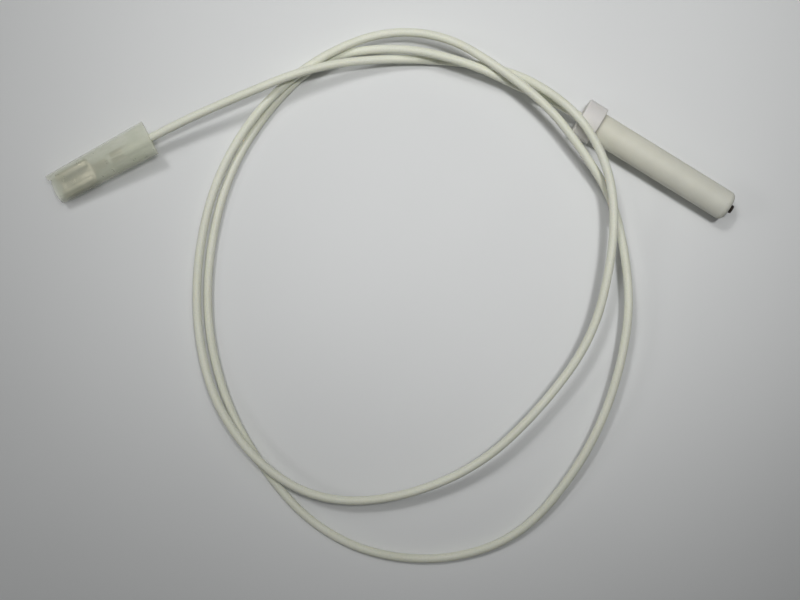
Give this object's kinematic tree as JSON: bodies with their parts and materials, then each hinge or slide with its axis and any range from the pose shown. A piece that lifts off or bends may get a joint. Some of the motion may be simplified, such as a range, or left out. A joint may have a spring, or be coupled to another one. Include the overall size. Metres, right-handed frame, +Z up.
{
  "type": "flame sensor probe",
  "caption": "Ceramic flame-sensing electrode with a shouldered insulator, a long silicone lead in loose loops, and a sleeved push-on blade terminal.",
  "frame": {"origin": "on the insulator's axis, at the shoulder where its barrel meets its head", "axes": "+X along the barrel from the shoulder to the electrode's tip, +Z up from the sheet that the probe and its lead lie on"},
  "size_m": [0.1415, 0.1189, 0.0145],
  "materials": {
    "ceramic": "unglazed fired alumina, slightly satin",
    "electrode_steel": "heat-resistant steel, dark oxide",
    "plated_steel": "nickel plated, crimped",
    "cement": "dry cement",
    "tinned_copper": "drawn and tinned",
    "silicone": "extruded, soft satin",
    "tinned_brass": "stamped strip, thin tin",
    "sleeve_plastic": "translucent, satin"
  },
  "bodies": {
    "probe": {"ceramic_insulator": "ceramic", "electrode_rod": "electrode_steel", "crimp_ferrule": "plated_steel", "rear_cement": "cement", "conductor_probe_end": "tinned_copper", "lead": "silicone", "conductor_terminal_end": "tinned_copper", "blade_receptacle": "tinned_brass"},
    "sleeve": {"terminal_sleeve": "sleeve_plastic"}
  },
  "joints": [
    {"name": "sleeve_slide", "type": "slide", "parent": "probe", "child": "sleeve", "axis": [0.5111, 0.8518, 0.1147], "range_m": [0, 0.018]}
  ]
}
